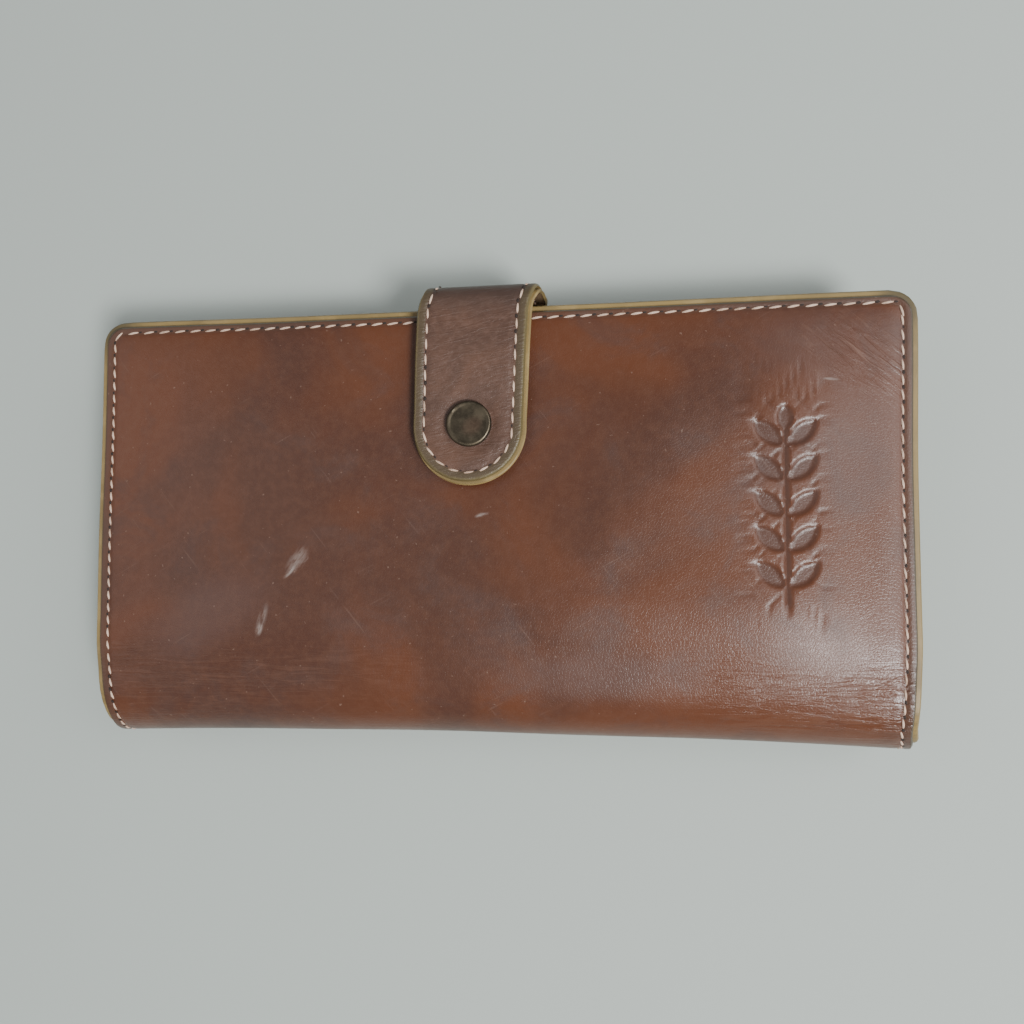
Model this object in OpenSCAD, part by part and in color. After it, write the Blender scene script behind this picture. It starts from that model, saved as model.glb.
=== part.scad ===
// Long bifold wallet with a snap tab. It lies closed on its back cover: +X runs
// along its length, +Y from the spine to the opening edge, +Z up through its
// thickness. The origin is under the middle of its outline, on the surface.

/* [Cover] */
// Length of the covers, end to end
wallet_l = 190; // [160:1:230]
// Closed depth, from the spine's outer face to the opening edge
wallet_d = 100; // [82:1:130]
// Thickness of the outer leather
leather_t = 1.5; // [1.2:0.1:2.4]
// Thickness of the stiffening board glued inside the leather
board_t = 0.8; // [0.6:0.1:1.2]
// Thickness of the lining
lining_t = 0.4; // [0.3:0.1:0.8]
// Radius of the covers' two corners at the opening edge
corner_r = 7; // [4:0.5:14]
// Distance of the seam from the covers' edge
seam_inset = 2.6; // [1.5:0.1:3.5]
// Width of the sewing thread
thread_w = 0.7; // [0.4:0.1:1.2]
// Depth of the groove that the thread lies in
thread_t = 0.35; // [0.2:0.05:0.6]
// Gap left in the leather at each fold line
fold_gap = 0.3; // [0.2:0.05:0.6]

/* [Pockets] */
// Room in the banknote compartment, behind the coin pocket
bill_gap = 4.4; // [4.3:0.1:8]
// Room inside the coin pocket
coin_gap = 5.8; // [5.4:0.1:9]
// Room in the slip pocket behind the cards
slip_gap = 2.2; // [1.8:0.1:6]
// Gap between the coin pocket and the cards when the wallet is closed
centre_gap = 1.0; // [1:0.1:4]
// Thickness of the coin pocket's leather walls
wall_t = 0.7; // [0.5:0.1:1.2]
// Thickness of each card panel
card_t = 0.55; // [0.4:0.05:0.8]
// Room behind each card panel, for one card
card_gap = 0.75; // [0.75:0.05:1.5]
// Height of the strip that each card panel shows above the one before it
card_step = 11; // [7:0.5:13]
// Distance from the covers' ends to the pockets
side_margin = 5; // [4:0.5:10]
// Distance from the end of the spine's curve to the pockets
spine_margin = 2; // [1:0.5:6]
// Distance from the opening edge to the coin pocket's mouth
coin_margin = 6; // [5.5:0.5:10]
// Distance from the opening edge to the top of the card panels
card_margin = 4; // [3:0.5:8]
// Thickness of the folded gussets and bottom strips
gusset_t = 0.6; // [0.4:0.1:0.8]
// How far the gussets fold inwards
gusset_d = 8; // [6:0.5:12]
// Thickness of the binding round the cards
binding_t = 0.5; // [0.4:0.05:0.6]

/* [Zip] */
// Thickness of the zip's woven tape
tape_t = 0.4; // [0.3:0.05:0.6]
// Length of tape sewn inside each wall
tape_leg = 9; // [6:0.5:12]
// Distance from one tooth to the next
tooth_pitch = 2; // [1.6:0.1:3]
// Length of one tooth along the zip
tooth_l = 1.2; // [0.8:0.1:1.4]
// Width of one row of teeth
row_w = 1.5; // [1.2:0.1:1.6]
// Height of the teeth
tooth_h = 1.7; // [1.4:0.1:2]
// Channel between the two rows, where the slider's wedge runs
row_gap = 1; // [0.8:0.1:1.2]
// Length of the slider
slider_l = 9; // [7:0.5:12]
// Width of the slider's outer plate
slider_w = 6.4; // [5:0.2:7.4]
// Thickness of the slider's plates
slider_t = 0.8; // [0.6:0.1:1]
// Length of the puller, from its pin
puller_l = 20; // [14:1:20]
// Width of the puller's paddle
puller_w = 4.4; // [3:0.2:6]
// Thickness of the puller
puller_t = 1; // [0.8:0.1:1.4]
// Radius of the puller's pin
pin_r = 0.5; // [0.4:0.05:0.6]

/* [Tab] */
// Width of the closing tab
tab_w = 26; // [20:0.5:34]
// How far the tab lies over the front cover, from the opening edge
tab_reach = 41.7; // [38:0.1:52]
// Offset of the tab's centre line along the wallet
tab_x = -2.3; // [-40:0.1:30]
// Thickness of the tab's outer leather
tab_leather_t = 1.4; // [1:0.1:2]
// Thickness of the tab's lining leather
tab_lining_t = 1; // [0.6:0.1:1.4]
// How far the tab stands out past the opening edge
loop_reach = 4; // [3.8:0.1:8]
// Length of the tongue held between the back cover's leather and lining
tongue_l = 17; // [12:1:24]
// Distance of the tab's seam from its edge
tab_seam_inset = 2.3; // [1.5:0.1:4]

/* [Snap] */
// Distance from the opening edge to the snap
snap_back = 28; // [24:0.5:36]
// Height of the tab above the cover, held off by the snap
snap_lift = 2; // [1.8:0.1:3]
// Diameter of the snap's cap
cap_d = 10.4; // [8:0.2:14]
// Height of the cap
cap_h = 1.5; // [1:0.1:2.5]
// Diameter of the socket
socket_d = 9.2; // [8:0.2:10]
// Diameter of the stud's knob
knob_d = 4.4; // [3.6:0.1:5]
// Diameter of the snap's posts
post_d = 3; // [2:0.1:3.2]

/* [Hidden] */
$fn = 64;

// Colours
leather_brown = [0.36, 0.17, 0.10];
inner_brown = [0.42, 0.24, 0.14];
lining_tan = [0.55, 0.45, 0.32];
thread_cream = [0.85, 0.74, 0.62];
zip_brown = [0.22, 0.14, 0.10];
bronze = [0.25, 0.18, 0.12];
brass = [0.55, 0.42, 0.22];

// Margin by which a cutting or bounding shape passes the piece
over = 1;
// Each fold is split at these angles round the spine and round the tab's bends
fold_split = 45;

// Height of each layer, from the surface up
cover_t = leather_t + board_t + lining_t;
card_slots = 4;
card_pitch = card_t + card_gap;
z_rear_wall = cover_t + bill_gap;
z_coin = z_rear_wall + wall_t;
z_front_wall = z_coin + coin_gap;
z_cards = z_front_wall + wall_t + centre_gap;
z_backing = z_cards + card_slots * card_pitch;
z_slip = z_backing + card_t;
z_front_lining = z_slip + slip_gap;
thick = z_front_lining + cover_t;

// The spine is half a cylinder between the covers
fold_r = thick / 2;
y_edge = (wallet_d - loop_reach) / 2;
y_spine = y_edge - wallet_d;
y_fold = y_spine + fold_r;
half_gap = fold_gap / fold_r / 2 * 180 / PI;

// Pockets
in_l = wallet_l / 2 - side_margin;
y_in = y_fold + spine_margin;
y_coin = y_edge - coin_margin;
y_cards = y_edge - card_margin;
gusset_land = 2.5;
panel_r = 3;
binding_land = 3.5;
card_y0 = y_in + binding_t;
seam_proud = 0.3;

// Zip
z_zip = z_coin + coin_gap / 2;
y_tape = y_coin - tape_t / 2;
zip_half = in_l - gusset_d - 1;
stop_l = 2.5;
teeth_half = zip_half - stop_l - 1;
tooth_count = floor(2 * teeth_half / tooth_pitch);
slide_clear = 0.2;
y_plate_out = y_tape + tooth_h / 2 + slide_clear;
y_plate_in = y_tape - tooth_h / 2 - slide_clear - slider_t;
inner_plate_w = coin_gap - 2 * tape_t - 0.6;
slider_x = teeth_half - slider_l / 2 - 0.5;
wedge_clear = 0.15;
pin_bore_clear = 0.08;
eye_r = pin_r + 0.55;
pin_y = y_plate_out + slider_t + eye_r + 0.25;
lug_t = 0.7;
lug_gap = 2.8;
lug_l = 2.4;
eye_w = lug_gap - 0.4;

// Tab
tab_t = tab_leather_t + tab_lining_t;
bend_start = 0.5;
root_clear = 0.3;
loop_r = loop_reach - bend_start;
y_bend = y_edge + bend_start;
y_loop = y_edge + loop_reach;
z_root = leather_t + board_t - tab_leather_t;
z_flap = thick + snap_lift;
z_tab_top = z_flap + tab_t;
y_tip = y_edge - tab_reach;
half_tab_gap = fold_gap / loop_r / 2 * 180 / PI;

// Snap
snap_y = y_edge - snap_back;
post_clear = 0.05;
socket_flange_t = 0.3;
stud_flange_t = 0.35;
stud_gap = 0.25;
knob_gap = 0.3;
neck_inset = 0.5;
eyelet_d = 7.2;
eyelet_t = 0.3;

// ---- Shared shapes ----

// Extrudes a (y, z) section along X, centred on the origin
module along_x(l) { rotate([90, 0, 90]) linear_extrude(l, center = true) children(); }

// Extrudes an (x, z) section along Y
module along_y(y0, y1) { translate([0, y1, 0]) rotate([90, 0, 0]) linear_extrude(y1 - y0) children(); }

// A plain block from one corner to the other
module block(from, to) { translate(from) cube(to - from); }

// Part of a ring at the origin: between two depths below its outer radius, and
// between two angles turned from straight down towards +Y
module ring_arc(r, d0, d1, a0, a1) {
    reach = 2 * r;
    mid = (a0 + a1) / 2;
    intersection() {
        difference() {
            circle(r - d0);
            circle(r - d1);
        }
        polygon([
            [0, 0],
            [reach * sin(a0), -reach * cos(a0)],
            [reach * sin(mid), -reach * cos(mid)],
            [reach * sin(a1), -reach * cos(a1)]
        ]);
    }
}

// Section of the covers between two depths below their outer face
module back_section(d0, d1) {
    translate([y_fold, d0]) square([y_edge - y_fold + over, d1 - d0]);
    translate([y_fold, fold_r]) mirror([1, 0]) ring_arc(fold_r, d0, d1, 0, fold_split - half_gap);
}
module spine_section(d0, d1) {
    translate([y_fold, fold_r]) mirror([1, 0])
        ring_arc(fold_r, d0, d1, fold_split + half_gap, 180 - fold_split - half_gap);
}
module front_section(d0, d1) { translate([0, thick]) mirror([0, 1]) back_section(d0, d1); }

// Outline of the covers seen from above, drawn in by an inset
module cover_outline(inset) {
    r = corner_r - inset;
    cx = wallet_l / 2 - corner_r;
    translate([inset - wallet_l / 2, y_spine - over - inset])
        square([wallet_l - 2 * inset, y_edge - corner_r - y_spine + over + inset]);
    translate([-cx, y_edge - corner_r - over]) square([2 * cx, r + over]);
    for (side = [-1, 1]) translate([side * cx, y_edge - corner_r]) circle(r);
}
module cover_prism() { translate([0, 0, -over]) linear_extrude(thick + 2 * over) cover_outline(0); }
module cover_seam_prism() {
    translate([0, 0, -2 * over]) linear_extrude(thick + 4 * over) difference() {
        cover_outline(seam_inset - thread_w / 2);
        cover_outline(seam_inset + thread_w / 2);
    }
}
module trimmed_to_cover() {
    intersection() {
        along_x(wallet_l + over) children();
        cover_prism();
    }
}
module cover_seam() {
    intersection() {
        along_x(wallet_l) children();
        cover_seam_prism();
    }
}

// A flat panel with its two top corners rounded
module panel(half_l, y0, y1, z0, t) {
    translate([0, 0, z0]) linear_extrude(t) {
        translate([-half_l, y0]) square([2 * half_l, y1 - y0 - panel_r]);
        translate([-half_l + panel_r, y0]) square([2 * (half_l - panel_r), y1 - y0]);
        for (side = [-1, 1]) translate([side * (half_l - panel_r), y1 - panel_r]) circle(panel_r);
    }
}

// A gusset folded inwards as a V between two walls, on the +X side
module gusset(z0, z1, y1) {
    run = gusset_d - gusset_land;
    rise = (z1 - z0) / 2;
    slope = sqrt(run * run + rise * rise);
    heel = gusset_land - gusset_t * (slope - run) / rise;
    crease = gusset_d - gusset_t * slope / rise;
    along_y(y_in + gusset_t, y1) polygon([
        [in_l, z0], [in_l - gusset_land, z0], [in_l - gusset_d, z0 + rise],
        [in_l - gusset_land, z1], [in_l, z1], [in_l, z1 - gusset_t],
        [in_l - heel, z1 - gusset_t], [in_l - crease, z0 + rise],
        [in_l - heel, z0 + gusset_t], [in_l, z0 + gusset_t]
    ]);
}

// Section of the tab between two depths below its outer face
module tab_root_section(d0, d1) {
    translate([y_edge + root_clear, z_root + d0]) square([bend_start - root_clear, d1 - d0]);
    translate([y_bend, z_root + loop_r]) ring_arc(loop_r, d0, d1, 0, fold_split - half_tab_gap);
}
module tab_loop_section(d0, d1) {
    translate([y_bend, z_root + loop_r]) ring_arc(loop_r, d0, d1, fold_split + half_tab_gap, 90);
    translate([y_loop - d1, z_root + loop_r]) square([d1 - d0, z_tab_top - z_root - 2 * loop_r]);
    translate([y_bend, z_tab_top - loop_r]) ring_arc(loop_r, d0, d1, 90, 180 - fold_split - half_tab_gap);
}
module tab_flap_section(d0, d1) {
    translate([y_bend, z_tab_top - loop_r]) ring_arc(loop_r, d0, d1, 180 - fold_split + half_tab_gap, 180);
    translate([y_tip - over, z_tab_top - d1]) square([y_bend - y_tip + over, d1 - d0]);
}

// Outline of the tab seen from above, drawn in by an inset
module tab_outline(inset) {
    r = tab_w / 2 - inset;
    translate([tab_x, y_tip + tab_w / 2]) circle(r);
    translate([tab_x - r, y_tip + tab_w / 2]) square([2 * r, y_loop - y_tip - tab_w / 2 + over + inset]);
}
module trimmed_to_tab() {
    intersection() {
        along_x(wallet_l) children();
        linear_extrude(z_tab_top + over) tab_outline(0);
    }
}
module tab_seam() {
    intersection() {
        along_x(wallet_l) children();
        linear_extrude(z_tab_top + 2 * over) difference() {
            tab_outline(tab_seam_inset - thread_w / 2);
            tab_outline(tab_seam_inset + thread_w / 2);
        }
    }
}

// Holes for the snap's posts
module flap_post_hole() {
    translate([tab_x, snap_y, z_flap - over]) cylinder(h = tab_t + 2 * over, d = post_d + 2 * post_clear);
}
module stud_post_hole() {
    translate([tab_x, snap_y, z_front_lining - over])
        cylinder(h = cover_t + 2 * over, d = post_d + 2 * post_clear);
}

// ---- Covers ----

module back_cover() {
    color(leather_brown) difference() {
        trimmed_to_cover() back_section(0, leather_t);
        cover_seam() back_section(-over, thread_t);
        tab_anchor_ring(-over);
    }
}

module spine_cover() {
    color(leather_brown) difference() {
        trimmed_to_cover() spine_section(0, leather_t);
        cover_seam() spine_section(-over, thread_t);
    }
}

module front_cover() {
    color(leather_brown) difference() {
        trimmed_to_cover() front_section(0, leather_t);
        cover_seam() front_section(-over, thread_t);
        stud_post_hole();
    }
}

// The board is cut away where the tab's tongue lies between leather and lining
module back_board() {
    color(lining_tan) difference() {
        trimmed_to_cover() back_section(leather_t, leather_t + board_t);
        block([tab_x - tab_w / 2, y_edge - tongue_l, leather_t - over],
              [tab_x + tab_w / 2, y_edge + over, leather_t + board_t + over]);
    }
}

module spine_interlining() {
    color(lining_tan) trimmed_to_cover() spine_section(leather_t, leather_t + board_t);
}

module front_board() {
    color(lining_tan) difference() {
        trimmed_to_cover() front_section(leather_t, leather_t + board_t);
        stud_post_hole();
    }
}

module back_lining() {
    color(lining_tan) trimmed_to_cover() back_section(leather_t + board_t, cover_t);
}

module spine_lining() {
    color(lining_tan) trimmed_to_cover() spine_section(leather_t + board_t, cover_t);
}

module front_lining() {
    color(lining_tan) difference() {
        trimmed_to_cover() front_section(leather_t + board_t, cover_t);
        stud_post_hole();
    }
}

module back_stitching() { color(thread_cream) cover_seam() back_section(0, thread_t); }

module spine_stitching() { color(thread_cream) cover_seam() spine_section(0, thread_t); }

module front_stitching() { color(thread_cream) cover_seam() front_section(0, thread_t); }

// ---- Banknote compartment and coin pocket, sewn to the back cover ----

module bill_gusset_right() { color(inner_brown) gusset(cover_t, z_rear_wall, y_coin); }

module bill_gusset_left() { mirror([1, 0, 0]) bill_gusset_right(); }

module bill_bottom_strip() {
    color(inner_brown) block([-in_l, y_in, cover_t], [in_l, y_in + gusset_t, z_rear_wall]);
}

module coin_rear_wall() { color(inner_brown) panel(in_l, y_in, y_coin, z_rear_wall, wall_t); }

module coin_front_wall() { color(inner_brown) panel(in_l, y_in, y_coin, z_front_wall, wall_t); }

module coin_gusset_right() { color(inner_brown) gusset(z_coin, z_front_wall, y_coin); }

module coin_gusset_left() { mirror([1, 0, 0]) coin_gusset_right(); }

module coin_bottom_strip() {
    color(inner_brown) block([-in_l, y_in, z_coin], [in_l, y_in + gusset_t, z_front_wall]);
}

// Each tape is sewn inside its wall and turns over towards the teeth
module zip_tape_rear() {
    color(zip_brown) {
        block([-zip_half, y_coin - tape_leg, z_coin], [zip_half, y_coin, z_coin + tape_t]);
        block([-zip_half, y_coin - tape_t, z_coin], [zip_half, y_coin, z_zip - row_gap / 2 - row_w]);
    }
}

module across_zip() { translate([0, 0, 2 * z_zip]) mirror([0, 0, 1]) children(); }

module zip_tape_front() { across_zip() zip_tape_rear(); }

module zip_teeth_rear() {
    color(brass) for (i = [0 : tooth_count - 1])
        translate([-teeth_half + (i + 0.5) * tooth_pitch - tooth_l / 2, y_tape - tooth_h / 2,
                   z_zip - row_gap / 2 - row_w])
            cube([tooth_l, tooth_h, row_w]);
}

// The front row's teeth stand half a pitch along from the rear row's
module zip_teeth_front() {
    translate([-tooth_pitch / 2, 0, 0]) across_zip() zip_teeth_rear();
}

// One stop across both rows at the open end, and one on each row at the other
module zip_end_stops() {
    reach = row_gap / 2 + row_w;
    color(brass) {
        block([-teeth_half - stop_l, y_tape - tooth_h / 2, z_zip - reach],
              [-teeth_half - tooth_pitch / 2, y_tape + tooth_h / 2, z_zip + reach]);
        for (side = [-1, 1])
            block([teeth_half + 0.3, y_tape - tooth_h / 2, z_zip + min(side * reach, side * row_gap / 2)],
                  [teeth_half + stop_l, y_tape + tooth_h / 2, z_zip + max(side * reach, side * row_gap / 2)]);
    }
}

// Two plates either side of the teeth, joined by the wedge between the rows, with
// two lugs and a pin for the puller
module zip_slider() {
    wedge_w = row_gap - 2 * wedge_clear;
    lug_in = y_plate_out + slider_t;
    color(bronze) translate([slider_x, 0, z_zip]) {
        block([-slider_l / 2, y_plate_out, -slider_w / 2], [slider_l / 2, lug_in, slider_w / 2]);
        block([-slider_l / 2, y_plate_in, -inner_plate_w / 2],
              [slider_l / 2, y_plate_in + slider_t, inner_plate_w / 2]);
        block([-slider_l / 4, y_plate_in + slider_t / 2, -wedge_w / 2],
              [slider_l / 4, y_plate_out + slider_t / 2, wedge_w / 2]);
        for (side = [-1, 1]) translate([0, 0, side * (lug_gap + lug_t) / 2]) {
            block([-lug_l / 2, lug_in - slider_t / 2, -lug_t / 2], [lug_l / 2, pin_y, lug_t / 2]);
            translate([0, pin_y, 0]) cylinder(h = lug_t, d = lug_l, center = true);
        }
        translate([0, pin_y, 0]) cylinder(h = lug_gap + lug_t, r = pin_r, center = true);
    }
}

module zip_puller() {
    bore_r = pin_r + pin_bore_clear;
    neck_l = 4;
    hole_r = puller_w / 5;
    color(bronze) translate([slider_x, pin_y, z_zip]) difference() {
        union() {
            cylinder(h = eye_w, r = eye_r, center = true);
            block([-neck_l - over, -puller_t / 2, -eye_w / 2], [0, puller_t / 2, eye_w / 2]);
            translate([0, puller_t / 2, 0]) rotate([90, 0, 0]) linear_extrude(puller_t) {
                translate([-puller_l + puller_w / 2, -puller_w / 2])
                    square([puller_l - neck_l - puller_w / 2, puller_w]);
                translate([-puller_l + puller_w / 2, 0]) circle(puller_w / 2);
            }
        }
        cylinder(h = eye_w + over, r = bore_r, center = true);
        translate([-puller_l + puller_w / 2, 0, 0]) rotate([90, 0, 0])
            cylinder(h = puller_t + over, r = hole_r, center = true);
    }
}

// ---- Card panels and slip pocket, sewn to the front cover ----

function card_top(i) = y_cards - (card_slots - i) * card_step + card_step / 2;
function card_z(i) = z_cards + i * card_pitch;

module card_panel(i) { color(inner_brown) panel(in_l - binding_t, card_y0, card_top(i), card_z(i), card_t); }

module card_panel_1() { card_panel(0); }
module card_panel_2() { card_panel(1); }
module card_panel_3() { card_panel(2); }
module card_panel_4() { card_panel(3); }

module card_backing() { color(inner_brown) panel(in_l - binding_t, card_y0, y_cards, z_backing, card_t); }

// Binding folded round the side edges of the card panels
module card_binding_right() {
    color(leather_brown) difference() {
        block([in_l - binding_land, y_in, z_cards - binding_t], [in_l, y_cards, z_slip + binding_t]);
        block([in_l - binding_land - over, y_in - over, z_cards],
              [in_l - binding_t, y_cards + over, z_slip]);
    }
}

module card_binding_left() { mirror([1, 0, 0]) card_binding_right(); }

module card_bottom_binding() {
    reach = in_l - binding_land;
    color(leather_brown) difference() {
        block([-reach, y_in, z_cards - binding_t], [reach, y_in + binding_land, z_slip + binding_t]);
        block([-reach - over, y_in + binding_t, z_cards], [reach + over, y_in + binding_land + over, z_slip]);
    }
}

// The middle seam divides the panels into two columns of slots
module card_centre_stitching() {
    color(thread_cream) for (i = [0 : card_slots - 1]) {
        start = i == 0 ? y_in + binding_land : card_top(i - 1);
        block([-thread_w / 2, start + 0.5, card_z(i) - seam_proud], [thread_w / 2, card_top(i) - 0.5, card_z(i)]);
    }
}

module slip_side_right() {
    color(inner_brown)
        block([in_l - binding_land, y_in, z_slip + binding_t], [in_l, y_cards, z_front_lining]);
}

module slip_side_left() { mirror([1, 0, 0]) slip_side_right(); }

module slip_bottom_strip() {
    reach = in_l - binding_land;
    color(inner_brown)
        block([-reach, y_in, z_slip + binding_t], [reach, y_in + binding_land, z_front_lining]);
}

// ---- Closing tab ----

// The outer leather runs on as a thin tongue between the back cover's layers
module tab_root_leather() {
    color(leather_brown) {
        trimmed_to_tab() tab_root_section(0, tab_leather_t);
        block([tab_x - tab_w / 2, y_edge - tongue_l, leather_t],
              [tab_x + tab_w / 2, y_bend, leather_t + board_t]);
    }
}

module tab_root_lining() { color(inner_brown) trimmed_to_tab() tab_root_section(tab_leather_t, tab_t); }

// The seam that holds the tongue shows as a rectangle on the back cover
module tab_anchor_ring(z0) {
    half_w = tab_w / 2 - tab_seam_inset;
    y0 = y_edge - tongue_l + tab_seam_inset;
    y1 = y_edge - 2 * seam_inset;
    difference() {
        block([tab_x - half_w, y0, z0], [tab_x + half_w, y1, thread_t]);
        block([tab_x - half_w + thread_w, y0 + thread_w, z0 - over],
              [tab_x + half_w - thread_w, y1 - thread_w, thread_t + over]);
    }
}

module tab_anchor_stitching() { color(thread_cream) tab_anchor_ring(0); }

module tab_loop_leather() {
    color(leather_brown) difference() {
        trimmed_to_tab() tab_loop_section(0, tab_leather_t);
        tab_seam() tab_loop_section(-over, thread_t);
    }
}

module tab_loop_lining() { color(inner_brown) trimmed_to_tab() tab_loop_section(tab_leather_t, tab_t); }

module tab_loop_stitching() { color(thread_cream) tab_seam() tab_loop_section(0, thread_t); }

module tab_flap_leather() {
    color(leather_brown) difference() {
        trimmed_to_tab() tab_flap_section(0, tab_leather_t);
        tab_seam() tab_flap_section(-over, thread_t);
        flap_post_hole();
    }
}

module tab_flap_lining() {
    color(inner_brown) difference() {
        trimmed_to_tab() tab_flap_section(tab_leather_t, tab_t);
        flap_post_hole();
    }
}

module tab_flap_stitching() { color(thread_cream) tab_seam() tab_flap_section(0, thread_t); }

// ---- Snap fastener ----

// A low dome with a rolled rim, and the post that is riveted over in the socket
module snap_cap() {
    rim = cap_h * 0.4;
    r = cap_d / 2;
    color(bronze) translate([tab_x, snap_y, z_tab_top]) {
        rotate_extrude() {
            square([r - rim, rim * 2]);
            translate([r - rim, rim]) circle(rim, $fn = 32);
            polygon([[0, rim], [r - rim, rim * 2 - 0.05], [r * 0.45, cap_h * 0.97], [0, cap_h]]);
        }
        translate([0, 0, -tab_t - socket_flange_t]) cylinder(h = tab_t + socket_flange_t + rim, d = post_d);
    }
}

module snap_socket() {
    ring_h = snap_lift - stud_flange_t - stud_gap;
    color(bronze) translate([tab_x, snap_y, z_flap - ring_h]) rotate_extrude() {
        translate([post_d / 2 + post_clear, ring_h - socket_flange_t])
            square([(socket_d - post_d) / 2 - post_clear, socket_flange_t]);
        translate([knob_d / 2 + knob_gap, 0])
            square([socket_d / 2 - 0.4 - knob_d / 2 - knob_gap, ring_h]);
    }
}

// Flange on the leather and the knob that the socket grips
module snap_stud() {
    knob_top = snap_lift - socket_flange_t - stud_gap;
    knob_h = 0.6;
    color(bronze) translate([tab_x, snap_y, thick]) rotate_extrude() {
        square([socket_d / 2 - 0.4, stud_flange_t]);
        square([knob_d / 2 - neck_inset, knob_top]);
        translate([0, knob_top - knob_h]) square([knob_d / 2, knob_h]);
    }
}

// Post and flange that hold the stud from inside the front cover
module snap_eyelet() {
    color(bronze) translate([tab_x, snap_y, z_front_lining]) {
        cylinder(h = cover_t, d = post_d);
        translate([0, 0, -eyelet_t]) cylinder(h = eyelet_t, d = eyelet_d);
    }
}

back_cover();
spine_cover();
front_cover();
back_board();
spine_interlining();
front_board();
back_lining();
spine_lining();
front_lining();
back_stitching();
spine_stitching();
front_stitching();
bill_gusset_left();
bill_gusset_right();
bill_bottom_strip();
coin_rear_wall();
coin_front_wall();
coin_gusset_left();
coin_gusset_right();
coin_bottom_strip();
zip_tape_rear();
zip_tape_front();
zip_teeth_rear();
zip_teeth_front();
zip_end_stops();
zip_slider();
zip_puller();
card_panel_1();
card_panel_2();
card_panel_3();
card_panel_4();
card_backing();
card_binding_left();
card_binding_right();
card_bottom_binding();
card_centre_stitching();
slip_side_left();
slip_side_right();
slip_bottom_strip();
tab_root_leather();
tab_root_lining();
tab_anchor_stitching();
tab_loop_leather();
tab_loop_lining();
tab_loop_stitching();
tab_flap_leather();
tab_flap_lining();
tab_flap_stitching();
snap_cap();
snap_socket();
snap_stud();
snap_eyelet();
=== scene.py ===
import math

import bpy
from mathutils import Matrix, Vector, noise


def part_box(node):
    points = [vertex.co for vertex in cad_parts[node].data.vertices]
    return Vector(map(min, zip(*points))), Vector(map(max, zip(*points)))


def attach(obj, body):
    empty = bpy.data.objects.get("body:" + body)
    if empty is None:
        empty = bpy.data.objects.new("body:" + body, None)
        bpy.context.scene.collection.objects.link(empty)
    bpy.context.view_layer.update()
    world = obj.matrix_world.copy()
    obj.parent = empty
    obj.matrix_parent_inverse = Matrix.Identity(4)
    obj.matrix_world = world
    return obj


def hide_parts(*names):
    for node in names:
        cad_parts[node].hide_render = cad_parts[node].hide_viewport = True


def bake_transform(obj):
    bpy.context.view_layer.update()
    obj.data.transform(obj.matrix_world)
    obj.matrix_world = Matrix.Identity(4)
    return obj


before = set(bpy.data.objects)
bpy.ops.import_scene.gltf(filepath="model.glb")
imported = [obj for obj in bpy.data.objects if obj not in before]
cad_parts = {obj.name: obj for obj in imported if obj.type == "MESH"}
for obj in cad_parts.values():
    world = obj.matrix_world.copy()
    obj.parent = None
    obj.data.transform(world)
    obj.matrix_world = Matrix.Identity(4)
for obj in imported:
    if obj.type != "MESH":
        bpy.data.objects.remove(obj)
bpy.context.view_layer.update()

mm = 0.001


# ---- Camera, floor and light ----
# The wallet lies on a plain pale table and is looked at from almost straight
# above, a little from its right. A large soft window on the right gives the sheen
# along the spine, and a bright wall beside it fills the shadows.

def pointed_at(place, target):
    return (Vector(target) - Vector(place)).to_track_quat("-Z", "Y").to_euler()


bpy.ops.object.camera_add(location=(40.8 * mm, -13.7 * mm, 239.0 * mm),
                          rotation=[math.radians(turn) for turn in (3.72, 9.08, 0.01)])
camera = bpy.context.object
camera.data.sensor_width = 36.0
camera.data.lens = 33.4
bpy.context.scene.camera = camera

bpy.ops.mesh.primitive_plane_add(size=14.0)
table = bpy.context.object
table.name = "table"
table_material = bpy.data.materials.new("pale_table")
table_material.use_nodes = True
table_shader = table_material.node_tree.nodes["Principled BSDF"]
table_shader.inputs["Base Color"].default_value = (0.40, 0.44, 0.41, 1.0)
table_shader.inputs["Roughness"].default_value = 0.9
table.data.materials.append(table_material)

for name, place, size, power in (
        ("window", (0.54, -0.42, 0.98), 0.30, 18.0),
        ("bright_wall", (0.90, 0.20, 1.00), 0.90, 7.5),
        ("far_fill", (-0.90, 0.10, 1.00), 0.90, 2.0)):
    bpy.ops.object.light_add(type="AREA", location=place, rotation=pointed_at(place, (0, 0, 0)))
    lamp = bpy.context.object
    lamp.name = name
    lamp.data.size = size
    lamp.data.energy = power

world = bpy.data.worlds.new("studio")
world.use_nodes = True
world.node_tree.nodes["Background"].inputs["Color"].default_value = (0.94, 0.97, 1.0, 1.0)
world.node_tree.nodes["Background"].inputs["Strength"].default_value = 0.34
bpy.context.scene.world = world


# ---- Cover leather ----
# One piece of oiled brown leather, 1.5 mm thick, goes round the whole wallet. It
# is cut flat, folded round the spine and sewn to the layers under it. Its cut
# edges are burnished, and it creases along the spine where it bends.

half_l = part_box("front_cover")[1].x
y_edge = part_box("front_cover")[1].y
y_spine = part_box("spine_cover")[0].y
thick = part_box("front_cover")[1].z
fold_r = thick / 2
y_fold = y_spine + fold_r
fold_length = math.pi / 2 * fold_r
run_length = fold_length + y_edge - y_fold
leather_t = 1.5 * mm
corner_r = 6.0 * mm
seam_groove = 0.25 * mm
groove_half = 0.6 * mm
emboss_depth = 0.6 * mm
rim_width = 3 * mm
fine_band = 4 * mm


def smooth(low, high, value):
    share = min(max((value - low) / (high - low), 0.0), 1.0)
    return share * share * (3 - 2 * share)


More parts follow.
